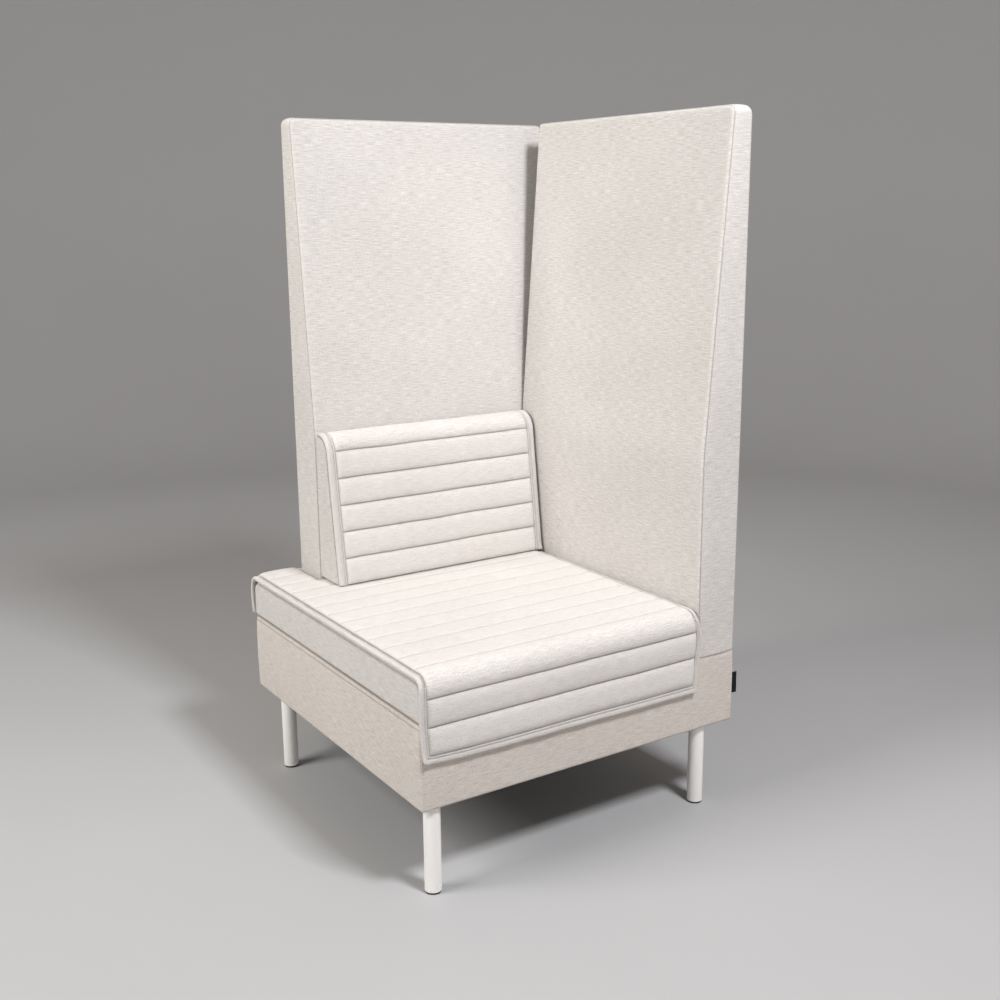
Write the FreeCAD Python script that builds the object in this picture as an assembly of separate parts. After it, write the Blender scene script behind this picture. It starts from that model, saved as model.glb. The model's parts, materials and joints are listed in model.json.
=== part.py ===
import FreeCAD, Part
import math
import os

# High-back lounge chair: an upholstered base on four legs, a seat pad and a back cushion
# under channel-quilted covers, and two tapered screen panels that meet in the rear right corner.
# Lengths are millimetres. While it is built, X = 0 is the base's left side, Y = 0 its front
# and Z = 0 the floor. The last step moves the origin to the centre of the footprint.

# Overall sizes
base_width = 740.0
base_depth = 738.0
base_underside = 176.0
base_height = 166.0
panel_top = 1400.0

# Base frame and its upholstery
base_skin = 6.0
base_top_padding = 14.0
base_edge_radius = 5.0
base_hem_thickness = 2.0
base_hem_width = 30.0
rail_thickness = 15.0
deck_thickness = 15.0
cross_rail_thickness = 18.0
corner_block_height = 45.0
corner_block_reach = 34.0
dust_cover_thickness = 1.0
dust_cover_margin = 12.0
dust_cover_leg_gap = 2.0
frame_clearance = 0.3

# Legs and levelling glides
leg_diameter = 32.0
leg_wall = 2.0
leg_left_inset = 35.0
leg_front_inset = 27.0
leg_right_inset = 71.0
leg_rear_inset = 76.0
leg_head_thickness = 4.0
leg_stud_diameter = 10.0
leg_stud_length = 36.0
leg_plug_length = 24.0
leg_plug_clearance = 0.05
leg_plate_width = 58.0
leg_plate_thickness = 3.0
glide_diameter = 29.0
glide_height = 4.0
glide_stud_diameter = 8.0
glide_stud_length = 32.0
glide_play = 0.2
rest_gap = 0.3
hole_play = 0.3

# Screen panels
panel_bottom_thickness_side = 100.0
panel_bottom_thickness_back = 108.0
panel_top_thickness = 48.0
panel_taper_start = 733.0
panel_corner_radius = 22.0
panel_edge_bevel = 2.5
panel_skin = 2.5
panel_outer_foam = 17.5
panel_board_thickness = 24.0
panel_press_depth = 12.0
back_panel_left = 113.0
panel_joint_gap = 0.3
panel_bolt_diameter = 8.0
panel_bolt_grip = 45.0
panel_bolt_head_across = 13.0
panel_bolt_head_height = 5.0
panel_bolt_count = 2
panel_bolt_end_margin = 90.0
tie_bolt_count = 2
tie_bolt_low = 480.0
tie_bolt_spacing = 200.0
tie_bolt_grip = 40.0
tie_sleeve_across = 14.0

# Seat pad
seat_pad_top = 424.0
seat_pad_round = 18.5
seat_pad_skin = 2.0
seat_board_thickness = 12.0
seat_side_clearance = 2.0

# Quilted seat cover
cover_clearance = 0.3
drop_gap = 1.5
channel_pitch = 58.5
cover_seam_thickness = 8.0
cover_top_crown = 12.5
cover_drop_crown = 14.0
cover_band_thickness = 9.0
cover_band_width = 12.0
cover_front_drop = 154.3
cover_rear_drop = 84.3
cover_left_edge = 1.0
cover_right_clearance = 4.0
loop_strip_height = 20.0
loop_strip_thickness = 1.2
loop_strip_inset = 30.0

# Back cushion and its quilted cover
cushion_depth = 87.0
cushion_top = 749.0
cushion_lean = 7.4
cushion_front_round = 51.0
cushion_rear_round = 8.0
cushion_skin = 2.0
cushion_left_overhang = 1.0
cushion_right_clearance = 4.0
cushion_cover_pitch = 57.3
cushion_cover_first = 56.0
cushion_cover_crown = 13.0
cushion_band_width = 18.0
cushion_tail_depth = 90.0
cushion_lift_gap = 0.6

# Blank woven tab in the base's right front seam
tab_reach = 14.0
tab_height = 45.0
tab_thickness = 1.2
tab_underside = 233.0
tab_from_front = 4.0

# Values worked out from the sizes above
base_top = base_underside + base_height
deck_top = base_top - base_top_padding
deck_underside = deck_top - deck_thickness
rail_underside = base_underside + base_hem_thickness
frame_edge = base_skin + frame_clearance
panel_foot = base_top - panel_press_depth
side_panel_inner = base_width - panel_bottom_thickness_side
back_panel_front = base_depth - panel_bottom_thickness_back
side_panel_length = back_panel_front - panel_joint_gap
back_panel_length = base_width - back_panel_left
panel_board_start = panel_skin + panel_outer_foam
panel_board_middle = panel_board_start + panel_board_thickness / 2
seat_pad_underside = base_top + cover_clearance
seat_pad_right = side_panel_inner - seat_side_clearance
notch_left = back_panel_left - cover_clearance
notch_front = back_panel_front - cover_clearance
cover_inner_top = seat_pad_top + cover_clearance
cover_round = seat_pad_round + drop_gap
cover_front_hem = cover_inner_top - cover_front_drop
cover_rear_hem = cover_inner_top - cover_rear_drop
cover_right_edge = side_panel_inner - cover_right_clearance
leg_radius = leg_diameter / 2
leg_top = rail_underside
leg_foot = glide_height + rest_gap


def box(x0, x1, y0, y1, z0, z1):
    corner = FreeCAD.Vector(x0, y0, z0)
    return Part.makeBox(x1 - x0, y1 - y0, z1 - z0, corner)


def rod(x, y, z0, z1, radius):
    return Part.makeCylinder(radius, z1 - z0, FreeCAD.Vector(x, y, z0))


def hex_head(base, axis, across, height):
    radius = across / math.sqrt(3)
    side = FreeCAD.Vector(0, 1, 0).cross(axis) if abs(axis.y) < 0.5 else FreeCAD.Vector(1, 0, 0)
    turn = FreeCAD.Rotation(axis, 60)
    corners = []
    for _ in range(6):
        corners.append(base + side * radius)
        side = turn.multVec(side)
    return closed_face(corners).extrude(axis * height)


def closed_face(points):
    return Part.Face(Part.makePolygon(points + [points[0]]))


def upright_edges(shape):
    found = []
    for edge in shape.Edges:
        box_of_edge = edge.BoundBox
        if box_of_edge.XLength + box_of_edge.YLength < 1e-3:
            found.append(edge)
    return found


def leg_places():
    right = base_width - leg_right_inset
    rear = base_depth - leg_rear_inset
    return {
        "front_left": (leg_left_inset, leg_front_inset),
        "front_right": (right, leg_front_inset),
        "rear_left": (leg_left_inset, rear),
        "rear_right": (right, rear),
    }


# Rounded routes in the YZ plane. A route is a list of lines and arcs, walked with the
# padded body on its right hand, so a positive offset points away from the body.

def unit(dy, dz):
    length = math.hypot(dy, dz)
    return dy / length, dz / length


def rounded_route(corners, radii):
    pieces = []
    start = corners[0]
    for i in range(1, len(corners) - 1):
        before = unit(corners[i][0] - corners[i - 1][0], corners[i][1] - corners[i - 1][1])
        after = unit(corners[i + 1][0] - corners[i][0], corners[i + 1][1] - corners[i][1])
        turn = math.acos(before[0] * after[0] + before[1] * after[1])
        radius = radii[i - 1]
        trim = radius * math.tan(turn / 2)
        arc_start = (corners[i][0] - before[0] * trim, corners[i][1] - before[1] * trim)
        arc_end = (corners[i][0] + after[0] * trim, corners[i][1] + after[1] * trim)
        centre = (arc_start[0] + before[1] * radius, arc_start[1] - before[0] * radius)
        heading = math.atan2(before[1], before[0])
        pieces.append({"kind": "line", "start": start, "end": arc_start, "heading": heading,
                       "length": math.dist(start, arc_start)})
        pieces.append({"kind": "arc", "centre": centre, "radius": radius, "heading": heading,
                       "turn": turn, "length": radius * turn})
        start = arc_end
    last = corners[-1]
    heading = math.atan2(last[1] - start[1], last[0] - start[0])
    pieces.append({"kind": "line", "start": start, "end": last, "heading": heading,
                   "length": math.dist(start, last)})
    return pieces


def route_length(route):
    return sum(piece["length"] for piece in route)


def route_point(route, distance, offset):
    left = distance
    for piece in route:
        if left <= piece["length"] or piece is route[-1]:
            break
        left -= piece["length"]
    if piece["kind"] == "line":
        heading = piece["heading"]
        y = piece["start"][0] + left * math.cos(heading)
        z = piece["start"][1] + left * math.sin(heading)
    else:
        heading = piece["heading"] - left / piece["radius"]
        y = piece["centre"][0] - piece["radius"] * math.sin(heading)
        z = piece["centre"][1] + piece["radius"] * math.cos(heading)
    return y - offset * math.sin(heading), z + offset * math.cos(heading)


def yz(x, point):
    return FreeCAD.Vector(x, point[0], point[1])


def route_edges(route, x, offset, start, end):
    edges = []
    passed = 0.0
    for piece in route:
        first = max(start, passed)
        last = min(end, passed + piece["length"])
        if last - first > 1e-6:
            a = yz(x, route_point(route, first, offset))
            b = yz(x, route_point(route, last, offset))
            if piece["kind"] == "line":
                edges.append(Part.LineSegment(a, b).toShape())
            else:
                middle = yz(x, route_point(route, (first + last) / 2, offset))
                edges.append(Part.Arc(a, middle, b).toShape())
        passed += piece["length"]
    return edges


def profile_solid(edges, x0, x1):
    wire = Part.Wire(Part.__sortEdges__(edges))
    return Part.Face(wire).extrude(FreeCAD.Vector(x1 - x0, 0, 0))


def route_band(route, x0, x1, start, end):
    edges = route_edges(route, x0, 0.0, start, end)
    edges += route_edges(route, x0, cover_band_thickness, start, end)
    for distance in (start, end):
        a = yz(x0, route_point(route, distance, 0.0))
        b = yz(x0, route_point(route, distance, cover_band_thickness))
        edges.append(Part.LineSegment(a, b).toShape())
    return profile_solid(edges, x0, x1)


def seam_places(first, pitch, start, end):
    places = []
    place = first
    while place < end - pitch / 4:
        if place > start + pitch / 4:
            places.append(place)
        place += pitch
    return [start] + places + [end]


def quilted_solid(route, x0, x1, seams, crown_at):
    edges = route_edges(route, x0, 0.0, seams[0], seams[-1])
    for start, end in zip(seams, seams[1:]):
        middle = (start + end) / 2
        a = yz(x0, route_point(route, start, cover_seam_thickness))
        crown = yz(x0, route_point(route, middle, crown_at(middle)))
        b = yz(x0, route_point(route, end, cover_seam_thickness))
        edges.append(Part.Arc(a, crown, b).toShape())
    for distance in (seams[0], seams[-1]):
        a = yz(x0, route_point(route, distance, 0.0))
        b = yz(x0, route_point(route, distance, cover_seam_thickness))
        edges.append(Part.LineSegment(a, b).toShape())
    return profile_solid(edges, x0, x1)


# Base

def base_block(inset, low, high):
    return box(inset, base_width - inset, inset, base_depth - inset, low, high)


def panel_beds():
    side = box(side_panel_inner, base_width + 1, -1, base_depth + 1, panel_foot, base_top + 1)
    back = box(back_panel_left, base_width + 1, back_panel_front, base_depth + 1,
               panel_foot, base_top + 1)
    return side.fuse(back)


def base_cover():
    block = base_block(0, base_underside, base_top)
    block = block.makeFillet(base_edge_radius, upright_edges(block))
    hollow = base_block(base_skin, rail_underside, deck_top)
    mouth = base_block(base_skin + base_hem_width, base_underside - 1, rail_underside + 1)
    cover = block.cut(hollow).cut(mouth).cut(panel_beds())
    for x, y in leg_places().values():
        cover = cover.cut(rod(x, y, base_underside - 1, rail_underside + 1,
                              leg_radius + hole_play))
    for hole in panel_bolt_holes():
        cover = cover.cut(hole)
    return cover


def frame_rails():
    left = frame_edge
    right = base_width - frame_edge
    front = frame_edge
    rear = base_depth - frame_edge
    low = rail_underside
    high = deck_underside
    inner_left = left + rail_thickness
    inner_right = right - rail_thickness
    inner_front = front + rail_thickness
    inner_rear = rear - rail_thickness
    middle = (left + right) / 2
    half_cross = cross_rail_thickness / 2
    return {
        "base_rail_front": box(left, right, front, inner_front, low, high),
        "base_rail_rear": box(left, right, inner_rear, rear, low, high),
        "base_rail_left": box(left, inner_left, inner_front, inner_rear, low, high),
        "base_rail_right": box(inner_right, right, inner_front, inner_rear, low, high),
        "base_cross_rail": box(middle - half_cross, middle + half_cross,
                               inner_front, inner_rear, low, high),
    }


def base_deck():
    deck = base_block(frame_edge, deck_underside, deck_top)
    for hole in panel_bolt_holes():
        deck = deck.cut(hole)
    return deck


def corner_block(x, y):
    rail_face = frame_edge + rail_thickness
    x0 = rail_face if x < base_width / 2 else x - corner_block_reach
    x1 = x + corner_block_reach if x < base_width / 2 else base_width - rail_face
    y0 = rail_face if y < base_depth / 2 else y - corner_block_reach
    y1 = y + corner_block_reach if y < base_depth / 2 else base_depth - rail_face
    low = leg_top + leg_plate_thickness
    block = box(x0, x1, y0, y1, low, low + corner_block_height)
    return block.cut(rod(x, y, low - 1, leg_top + leg_stud_length + 1,
                         leg_stud_diameter / 2 + hole_play))


def leg_plate(x, y):
    rail_face = frame_edge + rail_thickness
    half = leg_plate_width / 2
    x0 = max(x - half, rail_face)
    x1 = min(x + half, base_width - rail_face)
    y0 = max(y - half, rail_face)
    y1 = min(y + half, base_depth - rail_face)
    plate = box(x0, x1, y0, y1, leg_top, leg_top + leg_plate_thickness)
    return plate.cut(rod(x, y, leg_top - 1, leg_top + leg_plate_thickness + 1,
                         leg_stud_diameter / 2 + hole_play))


def dust_cover():
    low = base_underside - dust_cover_thickness
    sheet = base_block(dust_cover_margin, low, base_underside)
    half = leg_radius + dust_cover_leg_gap
    for x, y in leg_places().values():
        sheet = sheet.cut(box(x - half, x + half, y - half, y + half, low - 1, base_underside + 1))
    return sheet


# Legs

def leg(x, y):
    tube = rod(x, y, leg_foot, leg_top, leg_radius)
    tube = tube.cut(rod(x, y, leg_foot - 1, leg_top - leg_head_thickness,
                        leg_radius - leg_wall))
    stud = rod(x, y, leg_top - leg_head_thickness / 2, leg_top + leg_stud_length,
               leg_stud_diameter / 2)
    return tube.fuse(stud)


def leg_plug(x, y):
    radius = leg_radius - leg_wall - leg_plug_clearance
    bore = glide_stud_diameter / 2 + glide_play
    plug = rod(x, y, leg_foot, leg_foot + leg_plug_length, radius)
    return plug.cut(rod(x, y, leg_foot - 1, leg_foot + leg_plug_length + 1, bore))


def glide_pad(x, y):
    return rod(x, y, 0, glide_height, glide_diameter / 2)


def glide_stud(x, y):
    return rod(x, y, glide_height, glide_height + glide_stud_length, glide_stud_diameter / 2)


# Screen panels. Each panel is drawn by its length along the wall, its depth from the
# outer face and its height, and put in place by its own function.

def side_panel_place(along, deep, z):
    return FreeCAD.Vector(base_width - deep, along, z)


def back_panel_place(along, deep, z):
    return FreeCAD.Vector(back_panel_left + along, base_depth - deep, z)


def panel_section(place, inset, thickness, length):
    taper = (thickness - panel_top_thickness) / (panel_top - panel_taper_start)
    lean_inset = inset * math.hypot(1, taper)
    high = panel_top - inset
    top_deep = thickness - lean_inset - taper * (high - panel_taper_start)
    kink = panel_taper_start + (lean_inset - inset) / taper
    points = [
        place(inset, inset, panel_foot + inset),
        place(inset, inset, high),
        place(inset, top_deep, high),
        place(inset, thickness - inset, kink - 2 * (lean_inset - inset) / taper),
        place(inset, thickness - inset, panel_foot + inset),
    ]
    along = place(length - inset, 0, 0) - place(inset, 0, 0)
    return closed_face(points).extrude(along)


def panel_outline(place, inset, thickness, length):
    radius = panel_corner_radius - inset
    low = panel_foot + inset
    high = panel_top - inset
    near = inset
    far = length - inset
    slack = radius * (1 - math.sqrt(0.5))

    def at(along, z):
        return place(along, -1, z)

    edges = [
        Part.LineSegment(at(near, low), at(near, high - radius)).toShape(),
        Part.Arc(at(near, high - radius), at(near + slack, high - slack),
                 at(near + radius, high)).toShape(),
        Part.LineSegment(at(near + radius, high), at(far - radius, high)).toShape(),
        Part.Arc(at(far - radius, high), at(far - slack, high - slack),
                 at(far, high - radius)).toShape(),
        Part.LineSegment(at(far, high - radius), at(far, low)).toShape(),
        Part.LineSegment(at(far, low), at(near, low)).toShape(),
    ]
    across = place(0, thickness + 2, 0) - place(0, 0, 0)
    return Part.Face(Part.Wire(edges)).extrude(across)


def panel_block(place, inset, thickness, length):
    section = panel_section(place, inset, thickness, length)
    return section.common(panel_outline(place, inset, thickness, length))


def panel_slab(place, first, last, length):
    low = place(-1, first, panel_foot - 1)
    high = place(length + 1, last, panel_top + 1)
    return box(min(low.x, high.x), max(low.x, high.x), min(low.y, high.y), max(low.y, high.y),
               low.z, high.z)


def panel_parts(name, place, thickness, length, tie_holes):
    outer = panel_block(place, 0, thickness, length)
    long_edges = [edge for edge in outer.Edges if edge.BoundBox.ZMax > panel_foot + 1]
    soft = outer.makeChamfer(panel_edge_bevel, long_edges)
    inner = panel_block(place, panel_skin, thickness, length)
    board_end = panel_board_start + panel_board_thickness
    parts = {
        name + "_cover": soft.cut(inner),
        name + "_board": inner.common(panel_slab(place, panel_board_start, board_end, length)),
        name + "_outer_foam": inner.common(panel_slab(place, 0, panel_board_start, length)),
        name + "_inner_foam": inner.common(panel_slab(place, board_end, thickness + 1, length)),
    }
    for hole in panel_bolt_holes() + tie_holes:
        for key in parts:
            parts[key] = parts[key].cut(hole)
    return parts


def spread(first, last, count):
    return [first + (last - first) * i / (count - 1) for i in range(count)]


def panel_bolt_places():
    side = [side_panel_place(along, panel_board_middle, 0) for along in
            spread(panel_bolt_end_margin, side_panel_length - panel_bolt_end_margin,
                   panel_bolt_count)]
    back = [back_panel_place(along, panel_board_middle, 0) for along in
            spread(panel_bolt_end_margin, back_panel_length - panel_bolt_end_margin * 2,
                   panel_bolt_count)]
    return side, back


def panel_bolt_top():
    return panel_foot + panel_skin + panel_bolt_grip


def panel_bolt_holes():
    side, back = panel_bolt_places()
    radius = panel_bolt_diameter / 2 + hole_play
    return [rod(p.x, p.y, deck_underside - 1, panel_bolt_top() + 1, radius)
            for p in side + back]


def panel_bolts(places):
    bolts = []
    for p in places:
        shank = rod(p.x, p.y, deck_underside, panel_bolt_top(), panel_bolt_diameter / 2)
        head = hex_head(FreeCAD.Vector(p.x, p.y, deck_underside), FreeCAD.Vector(0, 0, -1),
                        panel_bolt_head_across, panel_bolt_head_height)
        bolts.append(shank.fuse(head))
    return bolts


def tie_rod(z, radius, first, last):
    x = base_width - panel_board_middle
    start = FreeCAD.Vector(x, first, z)
    return Part.makeCylinder(radius, last - first, start, FreeCAD.Vector(0, 1, 0))


def tie_block(z, across, first, last):
    x = base_width - panel_board_middle
    half = across / 2
    return box(x - half, x + half, first, last, z - half, z + half)


def tie_heights():
    return [tie_bolt_low + i * tie_bolt_spacing for i in range(tie_bolt_count)]


def tie_board_face():
    return base_depth - panel_board_start - panel_board_thickness


def tie_parts():
    bolts = []
    sleeves = []
    holes_side = []
    holes_back = []
    side_end = side_panel_length
    back_rear = base_depth - panel_board_start
    radius = panel_bolt_diameter / 2
    head_radius = panel_bolt_head_across / math.sqrt(3)
    sleeve_hole = tie_sleeve_across + 2 * hole_play
    for z in tie_heights():
        shank = tie_rod(z, radius, side_end - tie_bolt_grip, back_rear)
        head_base = FreeCAD.Vector(base_width - panel_board_middle, back_rear, z)
        head = hex_head(head_base, FreeCAD.Vector(0, 1, 0), panel_bolt_head_across,
                        panel_bolt_head_height)
        bolts.append(shank.fuse(head))
        sleeve = tie_block(z, tie_sleeve_across, side_end - panel_skin, tie_board_face())
        bore = tie_rod(z, radius + hole_play, side_end - panel_skin - 1, tie_board_face() + 1)
        sleeves.append(sleeve.cut(bore))
        holes_side.append(tie_rod(z, radius + hole_play, side_end - tie_bolt_grip - 1,
                                  side_end + 1))
        holes_side.append(tie_block(z, sleeve_hole, side_end - panel_skin, side_end + 1))
        holes_back.append(tie_block(z, sleeve_hole, back_panel_front - 1, tie_board_face()))
        holes_back.append(tie_rod(z, radius + hole_play, tie_board_face() - 1, back_rear + 1))
        holes_back.append(tie_rod(z, head_radius + hole_play, back_rear,
                                  back_rear + panel_bolt_head_height + 1))
    return bolts, sleeves, holes_side, holes_back


# Seat

def seat_route():
    front = -drop_gap
    rear = base_depth + drop_gap
    corners = [(front, cover_front_hem), (front, cover_inner_top),
               (rear, cover_inner_top), (rear, cover_rear_hem)]
    return rounded_route(corners, [cover_round, cover_round])


def seat_plan(left, right, front, rear, notch_x, notch_y):
    points = [(left, front), (right, front), (right, notch_y), (notch_x, notch_y),
              (notch_x, rear), (left, rear)]
    low = seat_pad_underside - 1
    face = closed_face([FreeCAD.Vector(x, y, low) for x, y in points])
    return face.extrude(FreeCAD.Vector(0, 0, seat_pad_top - low + 1))


def seat_pad_block(inset):
    corners = [(inset, seat_pad_underside + inset), (inset, seat_pad_top - inset),
               (base_depth - inset, seat_pad_top - inset),
               (base_depth - inset, seat_pad_underside + inset)]
    radius = seat_pad_round - inset
    route = rounded_route(corners, [radius, radius])
    edges = route_edges(route, inset, 0.0, 0.0, route_length(route))
    edges.append(Part.LineSegment(yz(inset, corners[-1]), yz(inset, corners[0])).toShape())
    body = profile_solid(edges, inset, seat_pad_right - inset)
    plan = seat_plan(inset, seat_pad_right - inset, inset, base_depth - inset,
                     notch_left - inset, notch_front - inset)
    return body.common(plan)


def seat_pad_parts():
    inner = seat_pad_block(seat_pad_skin)
    board_top = seat_pad_underside + seat_pad_skin + seat_board_thickness
    split = base_block(-1, board_top, seat_pad_top + 1)
    return {
        "seat_pad_cover": seat_pad_block(0).cut(inner),
        "seat_foam": inner.common(split),
        "seat_board": inner.cut(split),
    }


def seat_distances():
    route = seat_route()
    length = route_length(route)
    first_seam = cover_band_width
    last_seam = length - cover_band_width
    return route, length, first_seam, last_seam


def panel_clearance_box(grow):
    reach = cover_round + cover_drop_crown
    return box(notch_left - grow, base_width + 1, notch_front - grow, base_depth + reach,
               cover_rear_hem - reach, cover_inner_top + reach)


def seat_cover_crown(route):
    front_end = route[0]["length"] + route[1]["length"]
    rear_start = front_end + route[2]["length"]

    def crown_at(distance):
        on_top = front_end < distance < rear_start
        return cover_top_crown if on_top else cover_drop_crown

    return crown_at


def seat_cover_parts():
    route, length, first_seam, last_seam = seat_distances()
    inner_left = cover_left_edge + cover_band_width
    inner_right = cover_right_edge - cover_band_width
    seams = seam_places(first_seam, channel_pitch, first_seam, last_seam)
    quilt = quilted_solid(route, inner_left, inner_right, seams, seat_cover_crown(route))
    quilt = quilt.cut(panel_clearance_box(cover_band_width))
    left = route_band(route, cover_left_edge, inner_left, 0, length)
    right = route_band(route, inner_right, cover_right_edge, 0, length)
    right = right.cut(panel_clearance_box(cover_band_width))
    front = route_band(route, inner_left, inner_right, 0, first_seam)
    rear_right = notch_left - cover_band_width
    rear = route_band(route, inner_left, rear_right, last_seam, length)
    notch = route_band(route, rear_right, cover_right_edge, 0, length)
    notch = notch.common(panel_clearance_box(cover_band_width)).cut(panel_clearance_box(0))
    return {
        "seat_quilt": quilt,
        "seat_binding_left": left,
        "seat_binding_right": right,
        "seat_binding_front": front,
        "seat_binding_rear": rear,
        "seat_binding_notch": notch,
    }


def seat_loop_strip():
    low = cover_front_hem + cover_band_width
    return box(cover_left_edge + loop_strip_inset, cover_right_edge - loop_strip_inset,
               -loop_strip_thickness, 0, low, low + loop_strip_height)


# Back cushion

def cushion_bottom():
    return cover_inner_top + cover_top_crown + cushion_lift_gap


def cushion_left():
    return back_panel_left - cushion_left_overhang


def cushion_right():
    return side_panel_inner - cushion_right_clearance


def cushion_rear():
    return back_panel_front - cover_clearance


def cushion_tail_face():
    return cushion_rear() - cover_band_thickness - cover_clearance


def cushion_front(z):
    lean = math.tan(math.radians(cushion_lean))
    return back_panel_front - cushion_depth + (z - cushion_bottom()) * lean


def cushion_corners(inset):
    low = cushion_bottom() + inset
    high = cushion_top - inset
    shift = inset / math.cos(math.radians(cushion_lean))
    rear = cushion_tail_face() - inset
    return [(cushion_front(low) + shift, low), (cushion_front(high) + shift, high),
            (rear, high), (rear, cushion_tail_low())]


def cushion_tail_low():
    return cushion_top - cushion_tail_depth


def cushion_route(inset, rear_low):
    corners = cushion_corners(inset)
    corners[-1] = (corners[-1][0], rear_low)
    top_run = corners[2][0] - corners[1][0]
    lean = math.radians(cushion_lean)
    rear_round = cushion_rear_round - inset
    front_trim = top_run - rear_round - 0.5
    front_round = min(cushion_front_round - inset, front_trim / math.tan(math.pi / 4 - lean / 2))
    return rounded_route(corners, [front_round, rear_round])


def cushion_block(inset):
    step = cushion_tail_low() - cover_clearance - inset
    route = cushion_route(inset, step)
    edges = route_edges(route, cushion_left() + inset, 0.0, 0.0, route_length(route))
    low = cushion_bottom() + inset
    rear = cushion_rear() - inset
    corners = [route_point(route, route_length(route), 0), (rear, step), (rear, low),
               route_point(route, 0, 0)]
    for a, b in zip(corners, corners[1:]):
        x = cushion_left() + inset
        edges.append(Part.LineSegment(yz(x, a), yz(x, b)).toShape())
    return profile_solid(edges, cushion_left() + inset, cushion_right() - inset)


def cushion_parts():
    inner = cushion_block(cushion_skin)
    route = cushion_route(-cover_clearance, cushion_tail_low())
    length = route_length(route)
    left = cushion_left()
    right = cushion_right()
    quilt_left = left + cushion_band_width
    quilt_right = right - cushion_band_width
    last_seam = length - cover_band_width
    seams = seam_places(cushion_cover_first, cushion_cover_pitch, 0.0, last_seam)
    front_run = route[0]["length"] + route[1]["length"]

    def crown_at(distance):
        return cushion_cover_crown if distance < front_run else cover_band_thickness

    return {
        "cushion_cover": cushion_block(0).cut(inner),
        "cushion_foam": inner,
        "cushion_quilt": quilted_solid(route, quilt_left, quilt_right, seams, crown_at),
        "cushion_binding_left": route_band(route, left, quilt_left, 0, length),
        "cushion_binding_right": route_band(route, quilt_right, right, 0, length),
        "cushion_binding_rear": route_band(route, quilt_left, quilt_right, last_seam, length),
    }


def side_tab():
    return box(base_width, base_width + tab_reach, tab_from_front,
               tab_from_front + tab_thickness, tab_underside, tab_underside + tab_height)


def all_parts():
    parts = {"base_cover": base_cover(), "base_deck": base_deck(), "dust_cover": dust_cover()}
    parts.update(frame_rails())
    blocks = []
    plates = []
    plugs = []
    for name, (x, y) in leg_places().items():
        blocks.append(corner_block(x, y))
        plates.append(leg_plate(x, y))
        plugs.append(leg_plug(x, y))
        parts["leg_" + name] = leg(x, y)
        parts["glide_pad_" + name] = glide_pad(x, y)
        parts["glide_stud_" + name] = glide_stud(x, y)
    parts["corner_blocks"] = Part.makeCompound(blocks)
    parts["leg_plates"] = Part.makeCompound(plates)
    parts["leg_plugs"] = Part.makeCompound(plugs)
    tie_bolts, tie_sleeves, holes_side, holes_back = tie_parts()
    parts.update(panel_parts("side_panel", side_panel_place, panel_bottom_thickness_side,
                             side_panel_length, holes_side))
    parts.update(panel_parts("back_panel", back_panel_place, panel_bottom_thickness_back,
                             back_panel_length, holes_back))
    side_places, back_places = panel_bolt_places()
    parts["side_panel_bolts"] = Part.makeCompound(panel_bolts(side_places))
    parts["back_panel_bolts"] = Part.makeCompound(panel_bolts(back_places))
    parts["panel_tie_bolts"] = Part.makeCompound(tie_bolts)
    parts["panel_tie_sleeves"] = Part.makeCompound(tie_sleeves)
    parts.update(seat_pad_parts())
    parts.update(seat_cover_parts())
    parts["seat_loop_strip"] = seat_loop_strip()
    parts.update(cushion_parts())
    parts["side_tab"] = side_tab()
    return parts


def centred(parts):
    bounds = FreeCAD.BoundBox()
    for shape in parts.values():
        bounds.add(shape.BoundBox)
    shift = FreeCAD.Vector(-bounds.Center.x, -bounds.Center.y, 0)
    moved = {}
    for name, shape in parts.items():
        copy = shape.copy()
        copy.translate(shift)
        moved[name] = copy
    print("origin in base coordinates", -shift.x, -shift.y)
    return moved


def main():
    os.makedirs("parts", exist_ok=True)
    for name, shape in centred(all_parts()).items():
        shape.exportStep("parts/" + name + ".step")
        print(name, len(shape.Solids), shape.isValid(), round(shape.Volume))


main()
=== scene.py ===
import json
import math
from dataclasses import dataclass

import bmesh
import bpy
import numpy as np
from mathutils import Matrix, Vector


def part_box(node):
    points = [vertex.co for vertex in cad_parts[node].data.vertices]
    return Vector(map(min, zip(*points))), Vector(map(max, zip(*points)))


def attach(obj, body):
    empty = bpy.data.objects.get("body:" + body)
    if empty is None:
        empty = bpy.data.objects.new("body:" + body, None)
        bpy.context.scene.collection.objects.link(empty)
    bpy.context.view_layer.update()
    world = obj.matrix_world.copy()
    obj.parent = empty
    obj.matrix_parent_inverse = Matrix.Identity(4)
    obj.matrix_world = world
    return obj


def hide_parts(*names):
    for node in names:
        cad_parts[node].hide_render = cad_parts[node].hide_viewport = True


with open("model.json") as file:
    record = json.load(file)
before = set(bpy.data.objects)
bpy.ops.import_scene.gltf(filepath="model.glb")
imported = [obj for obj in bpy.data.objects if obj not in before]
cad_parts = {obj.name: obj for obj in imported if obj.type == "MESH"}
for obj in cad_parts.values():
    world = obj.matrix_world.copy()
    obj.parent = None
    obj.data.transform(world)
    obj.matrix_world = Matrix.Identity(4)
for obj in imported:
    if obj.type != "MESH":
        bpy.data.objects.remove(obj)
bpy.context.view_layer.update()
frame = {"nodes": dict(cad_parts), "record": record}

# High-back lounge chair. Lengths are metres in the frame: +X is the chair's right as seen from
# its front, +Y its rear and +Z up. mm lets the sizes below be read as millimetres.
mm = 0.001

# Camera: where the photograph was taken from
picture_width = 1000
focal_length_pixels = 1239.0
sensor_width = 36.0
camera_place = Vector((-1.3492, -2.1272, 1.2225))
camera_yaw = math.radians(33.018)
camera_pitch = math.radians(13.384)
camera_roll = math.radians(-0.492)

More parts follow.
